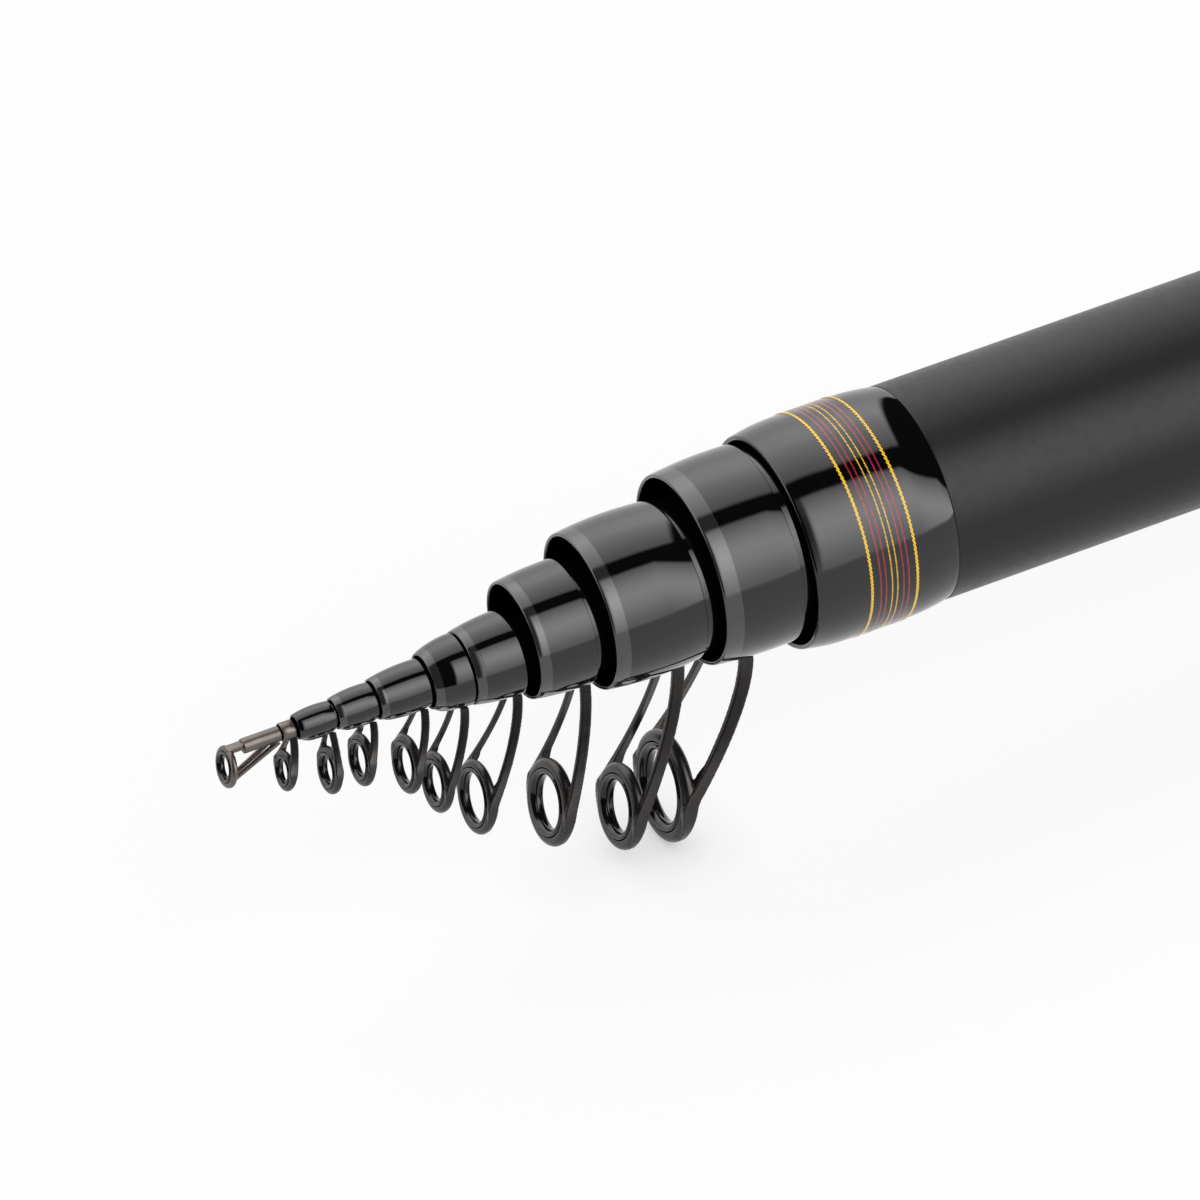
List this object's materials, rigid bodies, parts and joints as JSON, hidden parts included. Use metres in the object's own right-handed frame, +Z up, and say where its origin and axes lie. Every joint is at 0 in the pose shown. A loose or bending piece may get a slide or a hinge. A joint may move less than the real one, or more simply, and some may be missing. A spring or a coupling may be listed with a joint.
{
  "type": "telescopic fishing rod",
  "caption": "Closed telescopic rod with nested tapered sections, barrel collars, ringed line guides below, a clip reel seat and a screw butt cap; the sections draw out to full length.",
  "frame": {"origin": "on the rod's axis at the rear end of the butt tube", "axes": "+X along the rod towards the tip, +Z up, line guides and reel seat towards -Z"},
  "size_m": [0.5923, 0.0302, 0.0519],
  "materials": {
    "butt_lacquer": "matte dark grey lacquer over carbon",
    "section_lacquer": "gloss black lacquer over carbon",
    "collar_lacquer": "deep gloss black lacquer with a gunmetal band at the lip",
    "guide_metal": "satin gunmetal plating",
    "ring_ceramic": "polished black ceramic",
    "tip_metal": "satin taupe plating",
    "gold_thread": "metallic gold thread",
    "red_thread": "red thread under lacquer",
    "seat_metal": "brushed dark steel",
    "hood_paint": "black paint",
    "binding_lacquer": "black thread under gloss lacquer",
    "cap_metal": "black anodised",
    "pad_rubber": "moulded black rubber"
  },
  "bodies": {
    "butt": {"butt_tube": "butt_lacquer", "butt_collar": "collar_lacquer", "gold_thread": "gold_thread", "red_thread": "red_thread", "reel_seat_plate": "seat_metal", "fixed_hood": "hood_paint", "front_binding": "binding_lacquer", "rear_binding": "binding_lacquer"},
    "section_2": {"tube_2": "section_lacquer", "collar_2": "collar_lacquer", "guide_frame_2": "guide_metal", "guide_ring_2": "ring_ceramic"},
    "section_3": {"tube_3": "section_lacquer", "collar_3": "collar_lacquer", "guide_frame_3": "guide_metal", "guide_ring_3": "ring_ceramic"},
    "section_4": {"tube_4": "section_lacquer", "collar_4": "collar_lacquer", "guide_frame_4": "guide_metal", "guide_ring_4": "ring_ceramic"},
    "section_5": {"tube_5": "section_lacquer", "collar_5": "collar_lacquer", "guide_frame_5": "guide_metal", "guide_ring_5": "ring_ceramic"},
    "section_6": {"tube_6": "section_lacquer", "collar_6": "collar_lacquer", "guide_frame_6": "guide_metal", "guide_ring_6": "ring_ceramic"},
    "section_7": {"tube_7": "section_lacquer", "collar_7": "collar_lacquer", "guide_frame_7": "guide_metal", "guide_ring_7": "ring_ceramic"},
    "section_8": {"tube_8": "section_lacquer", "collar_8": "collar_lacquer", "guide_frame_8": "guide_metal", "guide_ring_8": "ring_ceramic"},
    "section_9": {"tube_9": "section_lacquer", "collar_9": "collar_lacquer", "guide_frame_9": "guide_metal", "guide_ring_9": "ring_ceramic"},
    "tip_section": {"tip_blank": "section_lacquer", "tip_top_frame": "tip_metal", "tip_top_ring": "ring_ceramic"},
    "floating_guide": {"floating_guide_frame": "guide_metal", "floating_guide_ring": "ring_ceramic"},
    "sliding_hood": {"sliding_hood": "hood_paint", "lever_pin": "seat_metal"},
    "lock_lever": {"lock_lever": "hood_paint"},
    "bumper": {"bumper": "pad_rubber"},
    "butt_cap": {"butt_cap": "cap_metal", "cap_pad": "pad_rubber"}
  },
  "joints": [
    {"name": "section_2_slide", "type": "slide", "parent": "butt", "child": "section_2", "axis": [1, 0, -0.001], "range_m": [0, 0.449]},
    {"name": "section_3_slide", "type": "slide", "parent": "section_2", "child": "section_3", "axis": [1, 0, 0.0017], "range_m": [0, 0.46065]},
    {"name": "section_4_slide", "type": "slide", "parent": "section_3", "child": "section_4", "axis": [1, 0, 0.0016], "range_m": [0, 0.47445]},
    {"name": "section_5_slide", "type": "slide", "parent": "section_4", "child": "section_5", "axis": [1, 0, 0.0026], "range_m": [0, 0.48345]},
    {"name": "section_6_slide", "type": "slide", "parent": "section_5", "child": "section_6", "axis": [1, 0, 0], "range_m": [0, 0.4906]},
    {"name": "section_7_slide", "type": "slide", "parent": "section_6", "child": "section_7", "axis": [1, 0, 0], "range_m": [0, 0.49565]},
    {"name": "section_8_slide", "type": "slide", "parent": "section_7", "child": "section_8", "axis": [1, 0, 0], "range_m": [0, 0.5024]},
    {"name": "section_9_slide", "type": "slide", "parent": "section_8", "child": "section_9", "axis": [1, 0, 0], "range_m": [0, 0.50775]},
    {"name": "tip_slide", "type": "slide", "parent": "section_9", "child": "tip_section", "axis": [1, 0, 0], "range_m": [0, 0.5128]},
    {"name": "floating_guide_slide", "type": "slide", "parent": "tip_section", "child": "floating_guide", "axis": [-1, 0, 0], "range_m": [0, 0.23076]},
    {"name": "hood_slide", "type": "slide", "parent": "butt", "child": "sliding_hood", "axis": [1, 0, 0], "range_m": [0, 0.025]},
    {"name": "lever_hinge", "type": "hinge", "parent": "sliding_hood", "child": "lock_lever", "pos_m": [0.2161, 0, -0.01793], "axis": [0, -1, 0], "range_deg": [0, 85]},
    {"name": "cap_draw", "type": "slide", "parent": "butt", "child": "bumper", "axis": [-1, 0, 0], "range_m": [0, 0.01201]},
    {"name": "cap_turn", "type": "hinge", "parent": "bumper", "child": "butt_cap", "pos_m": [0, 0, 0], "axis": [-1, 0, 0], "range_deg": [0, 2160]}
  ],
  "couplings": [
    {"joint": "floating_guide_slide", "follows": "tip_slide", "ratio": 0.45},
    {"joint": "cap_draw", "follows": "cap_turn", "m_per_rad": 0.00031831}
  ]
}
